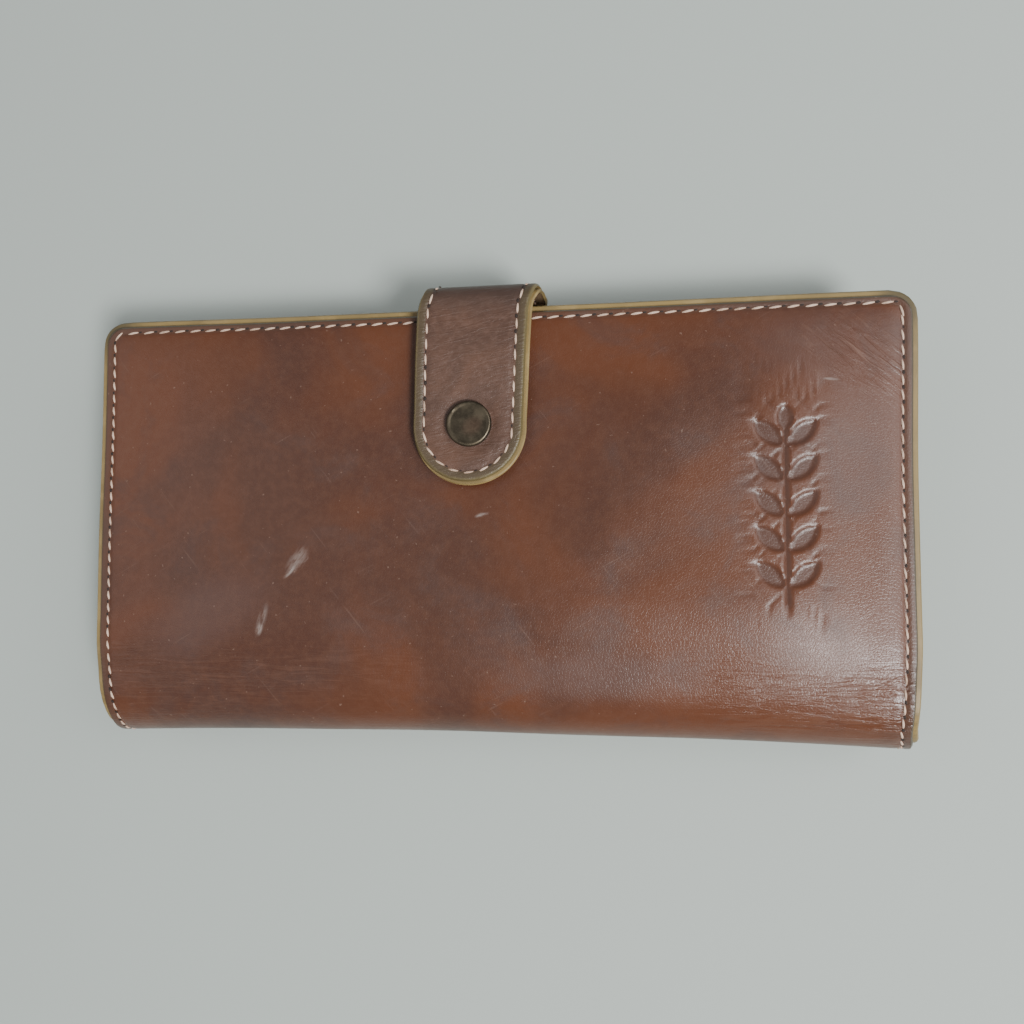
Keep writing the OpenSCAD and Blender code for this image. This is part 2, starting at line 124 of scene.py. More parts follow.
def put(tree, kind, settings=None, inputs=None):
    """Adds a node. An input that is a socket is linked, and any other value is set."""
    made = tree.nodes.new(kind)
    for key, value in (settings or {}).items():
        setattr(made, key, value)
    for key, value in (inputs or {}).items():
        if isinstance(value, bpy.types.NodeSocket):
            tree.links.new(value, made.inputs[key])
        else:
            made.inputs[key].default_value = value
    return made


def sums(tree, operation, first, second=0.0, third=0.0):
    return put(tree, "ShaderNodeMath", {"operation": operation},
               {0: first, 1: second, 2: third}).outputs[0]


def ramp(tree, factor, low, high, to_low=0.0, to_high=1.0):
    return put(tree, "ShaderNodeMapRange", {"interpolation_type": "SMOOTHSTEP"},
               {"Value": factor, "From Min": low, "From Max": high,
                "To Min": to_low, "To Max": to_high}).outputs["Result"]


def mixed(tree, factor, first, second):
    """A mix of two colours, which are sockets 6 and 7 of the Mix node and give output 2."""
    made = put(tree, "ShaderNodeMix", {"data_type": "RGBA"}, {0: factor, 6: first, 7: second})
    return made.outputs[2]


def object_place(tree):
    return put(tree, "ShaderNodeTexCoord").outputs["Object"]


def stretched(tree, turn, scale):
    """Object coordinates turned about Z and then scaled, for streaks that run one way."""
    turned = put(tree, "ShaderNodeMapping", None,
                 {"Vector": object_place(tree), "Rotation": (0, 0, turn)})
    return put(tree, "ShaderNodeMapping", None,
               {"Vector": turned.outputs["Vector"], "Scale": scale}).outputs["Vector"]


def speckle(tree, vector, scale, detail=3.0, rough=0.5, warp=0.0):
    return put(tree, "ShaderNodeTexNoise", None,
               {"Vector": vector, "Scale": scale, "Detail": detail, "Roughness": rough,
                "Distortion": warp}).outputs["Fac"]


def attribute(tree, name):
    return put(tree, "ShaderNodeAttribute", {"attribute_name": name}).outputs["Fac"]


def started(name, metallic=0.0, roughness=0.5):
    material = bpy.data.materials.new(name)
    material.use_nodes = True
    shader = material.node_tree.nodes["Principled BSDF"]
    shader.inputs["Metallic"].default_value = metallic
    shader.inputs["Roughness"].default_value = roughness
    return material, material.node_tree, shader


def coloured(tree, shader, tone):
    tree.links.new(tone, shader.inputs["Base Color"])


def bumped(tree, shader, height, depth):
    bump = put(tree, "ShaderNodeBump", None, {"Height": height, "Strength": 1.0, "Distance": depth})
    tree.links.new(bump.outputs["Normal"], shader.inputs["Normal"])


def leather_grain_group():
    """Pores and fine creases of grain leather, as a height from 0 to about 1."""
    group = bpy.data.node_groups.new("leather_grain", "ShaderNodeTree")
    group.interface.new_socket("Pore Scale", in_out="INPUT", socket_type="NodeSocketFloat")
    group.interface.new_socket("Height", in_out="OUTPUT", socket_type="NodeSocketFloat")
    start = group.nodes.new("NodeGroupInput")
    end = group.nodes.new("NodeGroupOutput")
    place = object_place(group)
    wobble = put(group, "ShaderNodeTexNoise", None,
                 {"Vector": place, "Scale": 900.0, "Detail": 2.0})
    bent = put(group, "ShaderNodeVectorMath", {"operation": "MULTIPLY_ADD"},
               {0: wobble.outputs["Color"], 1: (0.0006, 0.0006, 0.0006), 2: place}).outputs[0]
    cells = put(group, "ShaderNodeTexVoronoi", {"feature": "DISTANCE_TO_EDGE"},
                {"Vector": bent, "Scale": start.outputs["Pore Scale"]}).outputs["Distance"]
    pores = speckle(group, place, 2600.0, 2.0)
    total = sums(group, "MULTIPLY_ADD", pores, 0.45, ramp(group, cells, 0.0, 0.16, 0.0, 0.6))
    group.links.new(total, end.inputs[0])
    return group


leather_grain = leather_grain_group()


def grained(tree, pore_scale):
    return put(tree, "ShaderNodeGroup", {"node_tree": leather_grain},
               {"Pore Scale": pore_scale}).outputs[0]


def smear(tree, x, y, length, width, turn):
    """1 inside a long soft spot seen from above, and 0 outside it. Its place and size are in mm."""
    moved = put(tree, "ShaderNodeMapping", {"vector_type": "TEXTURE"},
                {"Vector": object_place(tree), "Location": (x * mm, y * mm, 0),
                 "Rotation": (0, 0, turn),
                 "Scale": (length / 2 * mm, width / 2 * mm, 1.0)}).outputs["Vector"]
    flat = put(tree, "ShaderNodeVectorMath", {"operation": "MULTIPLY"}, {0: moved, 1: (1, 1, 0)})
    far = put(tree, "ShaderNodeVectorMath", {"operation": "LENGTH"}, {0: flat.outputs[0]})
    return ramp(tree, far.outputs["Value"], 1.0, 0.25)


cover_leather, tree, shader = started("cover_leather")
place = object_place(tree)
# The dye is uneven in broad clouds, in patches and in fine mottling.
broad = speckle(tree, place, 20.0, 3.0, 0.55, 0.6)
patchy = speckle(tree, place, 62.0, 5.0, 0.62, 0.5)
fine = speckle(tree, place, 520.0, 4.0, 0.7)
tone = mixed(tree, ramp(tree, broad, 0.38, 0.62),
             (0.062, 0.023, 0.013, 1), (0.098, 0.030, 0.011, 1))
tone = mixed(tree, ramp(tree, patchy, 0.46, 0.72, 0.0, 0.60), tone, (0.056, 0.028, 0.022, 1))
tone = mixed(tree, ramp(tree, fine, 0.35, 0.75, 0.0, 0.30), tone, (0.118, 0.050, 0.028, 1))
# Wax has bloomed on the left, where the cover is rubbed most. The paler patches on the
# right third and along the spine are painted sheen, where the window's light falls.
bloom_and_sheen = sums(tree, "MAXIMUM", smear(tree, -66, -24, 46, 22, 0.5), smear(tree, 82, 16, 52, 32, 1.5))
bloom_and_sheen = sums(tree, "MAXIMUM", bloom_and_sheen, smear(tree, 76, 34, 46, 26, -0.3))
bloom_and_sheen = sums(tree, "MAXIMUM", bloom_and_sheen, smear(tree, 26, -36, 60, 14, 0.0))
tone = mixed(tree, sums(tree, "MULTIPLY", bloom_and_sheen, 0.40), tone, (0.096, 0.052, 0.042, 1))
# Pale lines are painted on the spine creases: painted highlight on their ridges,
# strongest on the right, where the window's light falls. Dirt gathers at the edges,
# and the pressed sprig is painted darker.
crease = attribute(tree, "crease")
streaks = speckle(tree, stretched(tree, 0.0, (75.0, 760.0, 760.0)), 1.0, 3.0, 0.6, 1.2)
crease_highlights = sums(tree, "MULTIPLY", ramp(tree, streaks, 0.50, 0.68), crease)
tone = mixed(tree, sums(tree, "MULTIPLY", crease_highlights, 0.35), tone, (0.17, 0.085, 0.055, 1))
rim = attribute(tree, "rim")
ragged = sums(tree, "MULTIPLY_ADD", fine, 0.16, rim)
tone = mixed(tree, ramp(tree, ragged, 0.22, 0.50, 0.0, 0.45), tone, (0.060, 0.036, 0.024, 1))
tone = mixed(tree, ramp(tree, ragged, 0.80, 1.02, 0.0, 0.9), tone, (0.046, 0.032, 0.015, 1))
# The pressed sprig is painted darker.
sprig_darkening = sums(tree, "MULTIPLY", attribute(tree, "pressed"), 0.5)
tone = mixed(tree, sprig_darkening, tone, (0.045, 0.023, 0.018, 1))
# Scuffs, hairline scratches and pale specks.
for x, y, length, width, turn, strength in (
        (-43.6, -10.6, 9.5, 4.6, 0.95, 0.42), (-52.2, -24.6, 10.0, 2.6, 1.25, 0.42),
        (-45.4, -13.2, 5.0, 1.5, 0.80, 0.9), (-41.9, -10.6, 3.2, 1.1, 0.65, 0.9),
        (-52.8, -26.6, 4.2, 1.9, 1.3, 0.65), (0.0, -0.3, 4.2, 1.4, 0.25, 0.65),
        (76.9, 28.4, 4.6, 0.9, -0.1, 0.45)):
    torn = speckle(tree, stretched(tree, -turn, (220.0, 900.0, 300.0)), 1.0, 4.0, 0.7)
    spot = smear(tree, x, y, length, width, turn)
    mark = sums(tree, "MULTIPLY", spot, ramp(tree, torn, 0.36, 0.62))
    tone = mixed(tree, sums(tree, "MULTIPLY", mark, strength), tone, (0.30, 0.25, 0.225, 1))
for turn, width in ((0.9, 1500.0), (-0.5, 1900.0)):
    hairlines = speckle(tree, stretched(tree, turn, (45.0, width, 300.0)), 1.0, 2.0, 0.5)
    hairlines = sums(tree, "MULTIPLY", ramp(tree, hairlines, 0.66, 0.74),
                     ramp(tree, patchy, 0.45, 0.6))
    tone = mixed(tree, sums(tree, "MULTIPLY", hairlines, 0.14), tone, (0.22, 0.14, 0.105, 1))
specks = speckle(tree, place, 1100.0, 1.0)
tone = mixed(tree, ramp(tree, specks, 0.74, 0.80, 0.0, 0.35), tone, (0.25, 0.17, 0.13, 1))
# The right corner at the opening edge is wrinkled by the thumb that lifts the cover.
# The wrinkle crests are painted paler: painted highlight of the window's sheen on them.
corner_spot = smear(tree, 82, 34, 34, 22, -0.7)
wrinkle = speckle(tree, stretched(tree, 0.70, (90.0, 800.0, 200.0)), 1.0, 2.0, 0.6, 1.0)
crest_highlights = sums(tree, "MULTIPLY", ramp(tree, wrinkle, 0.55, 0.68), corner_spot)
tone = mixed(tree, sums(tree, "MULTIPLY", crest_highlights, 0.35), tone, (0.19, 0.11, 0.08, 1))
coloured(tree, shader, tone)
gloss = ramp(tree, patchy, 0.3, 0.75, 0.31, 0.43)
tree.links.new(sums(tree, "MULTIPLY_ADD", crease, -0.05, gloss), shader.inputs["Roughness"])
grain = grained(tree, 1500.0)
wrinkles = sums(tree, "MULTIPLY", ramp(tree, wrinkle, 0.35, 0.65, 0.0, 0.7), corner_spot)
spine_creases = sums(tree, "MULTIPLY", ramp(tree, streaks, 0.4, 0.62), crease)
height = sums(tree, "MULTIPLY_ADD", grain, 0.12, wrinkles)
height = sums(tree, "MULTIPLY_ADD", spine_creases, 0.55, height)
bumped(tree, shader, height, 0.16 * mm)

edge_dye, tree, shader = started("olive_edge", roughness=0.5)
place = object_place(tree)
layers = speckle(tree, stretched(tree, 0.0, (60.0, 60.0, 2500.0)), 1.0, 3.0, 0.6)
wear = speckle(tree, place, 160.0, 4.0, 0.6)
tone = mixed(tree, ramp(tree, layers, 0.35, 0.7), (0.25, 0.172, 0.060, 1), (0.175, 0.122, 0.046, 1))
tone = mixed(tree, ramp(tree, wear, 0.5, 0.75, 0.0, 0.6), tone, (0.33, 0.235, 0.10, 1))
corners = sums(tree, "MAXIMUM", smear(tree, 92, 45, 15, 15, 0), smear(tree, -92, 45, 15, 15, 0))
tone = mixed(tree, sums(tree, "MULTIPLY", corners, 0.85), tone, (0.060, 0.048, 0.022, 1))
coloured(tree, shader, tone)
bumped(tree, shader, layers, 0.15 * mm)


def gathered(start, end, coarse, fine_bands):
    """Grid lines from start to end, with finer steps inside each (low, high, step) band."""
    lines = [start]
    while lines[-1] < end:
        step = min([band[2] for band in fine_bands if band[0] <= lines[-1] < band[1]] or [coarse])
        lines.append(lines[-1] + step)
    scale = (end - start) / (lines[-1] - start)
    return [start + (line - start) * scale for line in lines]


class Cut:
    """The outline that a layer of the cover is cut to, as distances inside the full outline."""

    def __init__(self, left, right, end, radius):
        self.left = -half_l + left
        self.right = half_l - right
        self.end = run_length - end
        self.radius = radius

    def placed(self, x, run):
        """Moves a grid point near a square corner so that the outline turns in an arc."""
        side = self.right if x > 0 else self.left
        r = self.radius
        a = (abs(x) - (abs(side) - r)) / r
        b = (run - (self.end - r)) / r
        if a <= 0 or b <= 0:
            return x, run
        arc_x = abs(side) - r + r * a * math.sqrt(1 - b * b / 2)
        return math.copysign(arc_x, x), self.end - r + r * b * math.sqrt(1 - a * a / 2)

    def inside(self, x, run):
        """Distance of a point from the cut edge."""
        dx = min(self.right - x, x - self.left)
        dy = self.end - run
        if dx < self.radius and dy < self.radius:
            return self.radius - math.hypot(self.radius - dx, self.radius - dy)
        return min(dx, dy)


full_cut = Cut(0, 0, 0, corner_r)
skin_cut = Cut(1.85 * mm, 1.4 * mm, 1.65 * mm, 4.5 * mm)
seam_line = Cut(4.2 * mm, 3.7 * mm, 3.3 * mm, 2.3 * mm)


def cover_point(x, run, depth, front):
    """Where a point of the flat leather is on the closed wallet, and its outward normal.

    The ends have spread a little in use, are drawn in where they start to go round the
    spine, and spread again on it. The opening edge has stretched by less than 1 mm.
    """
    near_end = smooth(0.70, 1.0, abs(x) / half_l)
    flat = run - fold_length
    if x < 0:
        wide = 1.6 - 1.7 * smooth(10 * mm, -8 * mm, flat) + 0.8 * smooth(-8 * mm, -18 * mm, flat)
        x -= wide * mm * near_end
    else:
        wide = 0.15 + 0.8 * smooth(40 * mm, 85 * mm, flat) - 1.0 * smooth(12 * mm, -8 * mm, flat)
        wide += 1.4 * smooth(-8 * mm, -18 * mm, flat)
        x += wide * mm * near_end
    if flat < 0:
        angle = run / fold_r
        out = Vector((0, -math.cos(angle), math.sin(angle)))
        point = Vector((x, y_fold, fold_r)) + out * (fold_r - depth)
    else:
        out = Vector((0, 0, 1))
        longer = (0.35 + 0.3 * smooth(-50 * mm, -90 * mm, x)) * mm
        longer *= smooth(-25 * mm, 0, run - run_length)
        point = Vector((x, y_fold + flat + longer, thick - depth))
    if not front:
        out.z = -out.z
        point.z = thick - point.z
    return point, out


def cover_swell(x, run, front, skin):
    """How far a layer stands proud: it is uneven, full in the middle and hollow along the spine."""
    signed = run if front else -run
    uneven = 0.5 * mm * noise.noise(Vector((x * 20, signed * 30, 3.1)))
    spine = (1.5 * ((x - 5 * mm) / (90 * mm)) ** 2 - 0.8) * mm
    if not front:
        return (spine + uneven) * smooth(fold_length * 0.95, fold_length * 0.3, run)
    flat = run - fold_length
    swell = uneven + spine * smooth(4 * mm, -fold_length * 0.4, flat)
    if skin:
        # The pockets fill the middle out, and the sewn edge puffs up beside its seam.
        from_end = half_l - abs(x)
        from_edge = run_length - run
        swell += 1.8 * mm * smooth(0, 34 * mm, from_end) * (
            smooth(0, 30 * mm, from_edge) * smooth(-2 * mm, 20 * mm, flat))
        swell += 0.5 * mm * smooth(0, 9 * mm, from_end) * smooth(-2 * mm, 12 * mm, flat) * (
            smooth(0, 9 * mm, from_edge))
    under_tab = smooth(46 * mm, 4 * mm, math.hypot(x + 2.3 * mm, flat - 62 * mm))
    return swell * (1 - under_tab)


def leaf_mask(x, y):
    """1 where a sprig is pressed in: a stem with five pairs of leaves and one at its tip."""
    stem_x, low, high = 67.0 * mm, -20.5 * mm, 19.0 * mm
    stem_half = 0.55 * mm
    leaf_half, leaf_bulge = 4.1 * mm, 1.9 * mm
    soft_edge = 0.5 * mm
    nearest = min(max(y, low), high)
    best = math.hypot(x - stem_x, y - nearest) - stem_half
    for pair in range(5):
        foot = low + (3.4 + 7.7 * pair) * mm
        for side in (-1, 1):
            turn = math.radians(90 - side * 48)
            middle = Vector((stem_x + side * 3.6 * mm, foot + 3.2 * mm))
            off = Vector((x, y)) - middle
            along = off.x * math.cos(turn) + off.y * math.sin(turn)
            across = -off.x * math.sin(turn) + off.y * math.cos(turn)
            bulge = leaf_bulge * max(1 - (along / leaf_half) ** 2, 0.0)
            if abs(along) < leaf_half:
                best = min(best, abs(across) - bulge)
            else:
                best = min(best, abs(along) - leaf_half)
    crown_leaf = math.hypot((x - stem_x) / 0.6, y - high - 1.2 * mm) - 2.6 * mm
    return 1 - smooth(-soft_edge, soft_edge, min(best, crown_leaf))


def float_attribute(piece, name, values):
    made = piece.data.attributes.new(name, "FLOAT", "POINT")
    made.data.foreach_set("value", values)


def only(piece):
    bpy.ops.object.select_all(action="DESELECT")
    piece.select_set(True)
    bpy.context.view_layer.objects.active = piece


def applied(piece, kind, **settings):
    only(piece)
    modifier = piece.modifiers.new(kind.lower(), kind)
    for key, value in settings.items():
        setattr(modifier, key, value)
    bpy.ops.object.modifier_apply(modifier=modifier.name)


def turned_over(piece):
    only(piece)
    bpy.ops.object.mode_set(mode="EDIT")
    bpy.ops.mesh.select_all(action="SELECT")
    bpy.ops.mesh.flip_normals()
    bpy.ops.object.mode_set(mode="OBJECT")


def smoothed(piece, angle=40):
    only(piece)
    bpy.ops.object.shade_smooth_by_angle(angle=math.radians(angle))


def edge_roll(inside, radius):
    """How far a rounded cut edge has dropped at a distance inside it."""
    if inside >= radius:
        return 0.0
    return radius - math.sqrt(max(radius * radius - (radius - inside) ** 2, 0.0))


def grid_of(name, columns, rows):
    """A flat grid with one vertex for each crossing, and the (column, row) of each vertex."""
    bpy.ops.object.select_all(action="DESELECT")
    wide, high = len(columns) - 1, len(rows) - 1
    bpy.ops.mesh.primitive_grid_add(x_subdivisions=wide, y_subdivisions=high, size=1)
    piece = bpy.context.object
    piece.name = name
    places = []
    for vertex in piece.data.vertices:
        places.append((columns[round((vertex.co.x + 0.5) * wide)],
                       rows[round((vertex.co.y + 0.5) * high)]))
    return piece, places


def cover_layer(name, front, depth, thickness, cut, materials, steps, pressed=False):
    """Half of a layer of the cover, from the middle of the spine to the opening edge."""
    coarse, fine_step = steps
    x_bands = [(cut.left, cut.left + fine_band, fine_step),
               (cut.right - fine_band, cut.right, fine_step)]
    run_bands = [(cut.end - fine_band, cut.end, fine_step), (0, 2 * mm, 0.25 * mm)]
    if pressed:
        x_bands.append((59.5 * mm, 74.5 * mm, 0.5 * mm))
        run_bands.append((fold_length + 17 * mm, fold_length + 63 * mm, 0.5 * mm))
    piece, places = grid_of(name, gathered(cut.left, cut.right, coarse, x_bands),
                            gathered(0, cut.end, coarse, run_bands))
    rims, dents, creases = [], [], []
    roll = min(0.6 * mm, thickness * 0.48)
    for vertex, (x, run) in zip(piece.data.vertices, places):
        x, run = cut.placed(x, run)
        inside = cut.inside(x, run)
        point, out = cover_point(x, run, depth, front)
        flat = run - fold_length
        near_sprig = pressed and 58 * mm < x < 76 * mm and flat > 0
        dent = leaf_mask(x, point.y) if near_sprig else 0.0
        drop = emboss_depth * dent + edge_roll(inside, roll)
        if depth == 0:
            drop += seam_groove * math.exp(-(seam_line.inside(x, run) / groove_half) ** 2)
        vertex.co = point + out * (cover_swell(x, run, front, depth == 0) - drop)
        rims.append(max(0.0, 1 - inside / rim_width))
        dents.append(dent)
        # The crease weight grows to the right. It sets the crease bumps, their gloss and the
        # painted highlight on them.
        crease_weight = smooth(14 * mm, 2 * mm, flat) * (0.45 + 0.55 * smooth(20 * mm, 80 * mm, x))
        creases.append(crease_weight * smooth(-0.35, 0.35, noise.noise(Vector((x * 25, run * 60, 7.7)))))
    float_attribute(piece, "rim", rims)
    float_attribute(piece, "pressed", dents)
    float_attribute(piece, "crease", creases)
    for material in materials:
        piece.data.materials.append(material)
    if not front:
        turned_over(piece)
    applied(piece, "SOLIDIFY", thickness=thickness, offset=-1.0, use_even_offset=True,
            material_offset=len(materials) - 1, material_offset_rim=1)
    smoothed(piece)
    return piece


def bend_with_front(piece):
    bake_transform(piece)


def bend_with_back(piece):
    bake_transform(piece)


front_leather = cover_layer("front_leather", True, 0.0, leather_t, skin_cut,
                            (cover_leather, edge_dye), (1.6 * mm, 0.4 * mm), pressed=True)
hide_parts("front_cover", "spine_cover")
bend_with_front(front_leather)

back_leather = cover_layer("back_leather", False, 0.0, leather_t, skin_cut,
                           (cover_leather, edge_dye), (2.5 * mm, 0.4 * mm))
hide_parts("back_cover")
bend_with_back(back_leather)


# ---- Board and lining ----
# Under the leather lies a stiff board with a thin split-leather lining. They are
# glued in and cut a little larger than the leather, and the edge of the whole
# stack is dyed olive, so an olive line shows all round.

lining_leather, tree, shader = started("lining_leather", roughness=0.62)
place = object_place(tree)
cloudy = speckle(tree, place, 45.0, 4.0, 0.6)
nap = speckle(tree, place, 1500.0, 3.0, 0.6)
tone = mixed(tree, ramp(tree, cloudy, 0.35, 0.68),
             (0.215, 0.135, 0.075, 1), (0.275, 0.180, 0.105, 1))
tone = mixed(tree, ramp(tree, nap, 0.40, 0.72, 0.0, 0.5), tone, (0.17, 0.10, 0.055, 1))
coloured(tree, shader, tone)
grain = grained(tree, 2100.0)
bumped(tree, shader, sums(tree, "MULTIPLY_ADD", nap, 0.5, grain), 0.08 * mm)

backing_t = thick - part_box("slip_side_right")[1].z - leather_t
front_backing = cover_layer("front_backing", True, leather_t, backing_t, full_cut,
                            (edge_dye, edge_dye, lining_leather), (3.0 * mm, 0.4 * mm))
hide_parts("front_board", "front_lining", "spine_interlining", "spine_lining")
bend_with_front(front_backing)

back_backing = cover_layer("back_backing", False, leather_t, backing_t, full_cut,
                           (edge_dye, edge_dye, lining_leather), (3.0 * mm, 0.4 * mm))
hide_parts("back_board", "back_lining")
bend_with_back(back_backing)


# ---- Cover seams ----
# A thick waxed cream thread is sewn all round, 3 to 4 mm inside the edge, by a heavy
# machine. Each stitch lies slanted in a shallow groove, between two needle holes,
# which are drawn as small dark discs of painted shade.

thread, tree, shader = started("waxed_thread", roughness=0.55)
place = object_place(tree)
fibres = speckle(tree, place, 3200.0, 3.0, 0.6)
grime = speckle(tree, place, 120.0, 3.0, 0.6)
tone = mixed(tree, ramp(tree, grime, 0.40, 0.70), (0.60, 0.43, 0.33, 1), (0.36, 0.23, 0.16, 1))
tone = mixed(tree, ramp(tree, fibres, 0.42, 0.66, 0.0, 0.50), tone, (0.70, 0.53, 0.41, 1))
coloured(tree, shader, tone)
bumped(tree, shader, fibres, 0.06 * mm)

# A needle hole is a small dark disc of painted shade, mottled between two dark tones.
needle_hole_shade, tree, shader = started("needle_hole_shade", roughness=0.8)
hole_shade_noise = speckle(tree, object_place(tree), 1400.0)
coloured(tree, shader, mixed(tree, hole_shade_noise, (0.012, 0.007, 0.005, 1), (0.030, 0.016, 0.010, 1)))


def sewing_stitch(length, width, pitch):
    """One stitch along X, arched between its ends, with the needle hole half a pitch away as a dark
    disc of painted shade.
    """
    hole_size = (0.50 * mm, 0.36 * mm, 0.08 * mm)
    bpy.ops.object.select_all(action="DESELECT")
    bpy.ops.mesh.primitive_uv_sphere_add(segments=8, ring_count=6, radius=1.0,
                                         rotation=(0, math.pi / 2, 0))
    laid_thread = bpy.context.object
    bpy.ops.object.transform_apply(rotation=True)
    for vertex in laid_thread.data.vertices:
        along = vertex.co.x
        vertex.co.x = math.copysign(abs(along) ** 1.25, along) * length / 2
        vertex.co.y *= width / 2
        vertex.co.z = vertex.co.z * width * 0.42 + width * 0.30 - width * 0.40 * along * along
    bpy.ops.object.shade_smooth()
    bpy.ops.mesh.primitive_uv_sphere_add(segments=8, ring_count=4, radius=1.0,
                                         location=(pitch / 2, 0, 0), scale=hole_size)
    hole = bpy.context.object
    bpy.ops.object.transform_apply(location=True, rotation=True, scale=True)
    for piece in (laid_thread, hole):
        piece.data.materials.append(thread)
        piece.data.materials.append(needle_hole_shade)
    hole.data.polygons.foreach_set("material_index", [1] * len(hole.data.polygons))
    bpy.ops.object.shade_smooth()
    laid_thread.select_set(True)
    bpy.context.view_layer.objects.active = laid_thread
    bpy.ops.object.join()
    return laid_thread


def sewn(name, pattern, frames, slant):
    """Copies of a stitch, set in frames of (place, seam's direction, outward normal, stretch)."""
    made = []
    for count, (point, along, out, stretch) in enumerate(frames):
        across = out.cross(along).normalized()
        along = across.cross(out).normalized()
        turn = math.radians(slant + 3.0 * noise.noise(Vector((count * 1.7, 0.3, 0.9))))
        slanted = along * math.cos(turn) + across * math.sin(turn)
        sideways = out.cross(slanted)
        copy = pattern.copy()
        copy.data = pattern.data.copy()
        copy.matrix_world = Matrix((slanted * stretch, sideways, out)).transposed().to_4x4()
        copy.matrix_world.translation = point
        bpy.context.scene.collection.objects.link(copy)
        made.append(copy)
    bpy.ops.object.select_all(action="DESELECT")
    for copy in made:
        copy.select_set(True)
    bpy.context.view_layer.objects.active = made[0]
    bpy.ops.object.join()
    bpy.ops.object.transform_apply(location=True, rotation=True, scale=True)
    bpy.context.object.name = name
    return bpy.context.object


def walked(points, pitch, lead):
    """Evenly spaced places on a polyline, each with the polyline's direction there."""
    found, left = [], lead
    for first, second in zip(points, points[1:]):
        span = Vector(second) - Vector(first)
        length = span.length
        while left < length:
            found.append((Vector(first) + span * (left / length), span.normalized()))
            left += pitch
        left -= length
    return found


# The seam's direction at a stitch is taken between two points this far to each side of it.
beside = 0.4 * mm
seam_pitch = 3.2 * mm


def cover_frames(front):
    """The seam of half the cover: up the left side, along the opening edge and down the right.

    The machine took shorter stitches down the sides than along the edge.
    """
    arc_r = seam_line.radius
    row = []
    for centre, turn_from in ((seam_line.left + arc_r, 180), (seam_line.right - arc_r, 90)):
        for step in range(0, 91, 15):
            turn = math.radians(turn_from - step)
            row.append((centre + arc_r * math.cos(turn),
                        seam_line.end - arc_r + arc_r * math.sin(turn)))
    left_side = [(seam_line.left, 0), row[0]]
    right_side = [row[-1], (seam_line.right, 0)]
    frames = []
    for path, pitch in ((left_side, 3.0 * mm), (row, 3.8 * mm), (right_side, 3.2 * mm)):
        for (x, run), direction in walked(path, pitch, pitch / 2):
            ends = []
            for shift in (-beside, 0.0, beside):
                at_x = x + direction.x * shift
                at_run = max(run + direction.y * shift, 0.0)
                point, out = cover_point(at_x, at_run, 0.0, front)
                ends.append(point + out * (cover_swell(at_x, at_run, front, True) - seam_groove))
            out = cover_point(x, run, 0.0, front)[1]
            frames.append((ends[1], ends[2] - ends[0], out, pitch / seam_pitch))
    return frames


cover_stitch = sewing_stitch(2.5 * mm, 0.56 * mm, seam_pitch)
front_seam = sewn("front_seam", cover_stitch, cover_frames(True), 9.0)
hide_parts("front_stitching", "spine_stitching")
bend_with_front(front_seam)
back_seam = sewn("back_seam", cover_stitch, cover_frames(False), -9.0)
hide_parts("back_stitching")
bend_with_back(back_seam)
bpy.data.objects.remove(cover_stitch)


# ---- Closing tab ----
# A strap of two leathers sewn back to back comes out of the back cover, goes round
# the opening edge in a loop and lies on the front. Its end is round. The edges are
# dyed olive, and the lining side is cut a little larger than the top leather.

flap_lo, flap_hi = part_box("tab_flap_leather")
loop_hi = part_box("tab_loop_leather")[1]
root_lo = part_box("tab_root_leather")[0]
tab_x = (flap_lo.x + flap_hi.x) / 2
tab_half = (flap_hi.x - flap_lo.x) / 2
tab_leather_t = 1.4 * mm
tab_lining_t = flap_lo.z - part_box("tab_flap_lining")[0].z
loop_r = 3.5 * mm
tab_seam_inset = 2.8 * mm
tab_groove = 0.22 * mm
tab_step = 0.9 * mm
tab_fine_step = 0.35 * mm
y_bend = loop_hi.y - loop_r
loop_arc = math.pi / 2 * loop_r
z_middle = (flap_hi.z + root_lo.z) / 2
rise_half = z_middle - root_lo.z - loop_r
flap_run = rise_half + loop_arc + y_bend - flap_lo.y
snap_y = (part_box("snap_cap")[0].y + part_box("snap_cap")[1].y) / 2

tab_leather, tree, shader = started("tab_leather")
place = object_place(tree)
cloudy = speckle(tree, place, 70.0, 4.0, 0.6, 0.4)
fine = speckle(tree, place, 620.0, 4.0, 0.7)
tone = mixed(tree, ramp(tree, cloudy, 0.38, 0.66),
             (0.070, 0.035, 0.023, 1), (0.095, 0.044, 0.026, 1))
tone = mixed(tree, ramp(tree, fine, 0.42, 0.76, 0.0, 0.40), tone, (0.145, 0.083, 0.063, 1))
# The loop is painted darker where it turns over the opening edge: painted shade on the curve that
# faces away from the light.
bent = attribute(tree, "bend")
tone = mixed(tree, sums(tree, "MULTIPLY", bent, 0.65), tone, (0.036, 0.023, 0.018, 1))
ragged = sums(tree, "MULTIPLY_ADD", fine, 0.20, attribute(tree, "rim"))
tone = mixed(tree, ramp(tree, ragged, 0.30, 0.48, 0.0, 0.80), tone, (0.066, 0.048, 0.024, 1))
tone = mixed(tree, ramp(tree, ragged, 0.78, 1.05, 0.0, 0.9), tone, (0.120, 0.092, 0.036, 1))
coloured(tree, shader, tone)
tree.links.new(ramp(tree, cloudy, 0.3, 0.75, 0.40, 0.52), shader.inputs["Roughness"])
grain = grained(tree, 1500.0)
folds = speckle(tree, stretched(tree, -0.16, (210.0, 1000.0, 300.0)), 1.0, 3.0, 0.6, 0.9)
height = sums(tree, "MULTIPLY_ADD", ramp(tree, folds, 0.38, 0.62), 0.8,
              sums(tree, "MULTIPLY", grain, 0.3))
bumped(tree, shader, height, 0.06 * mm)


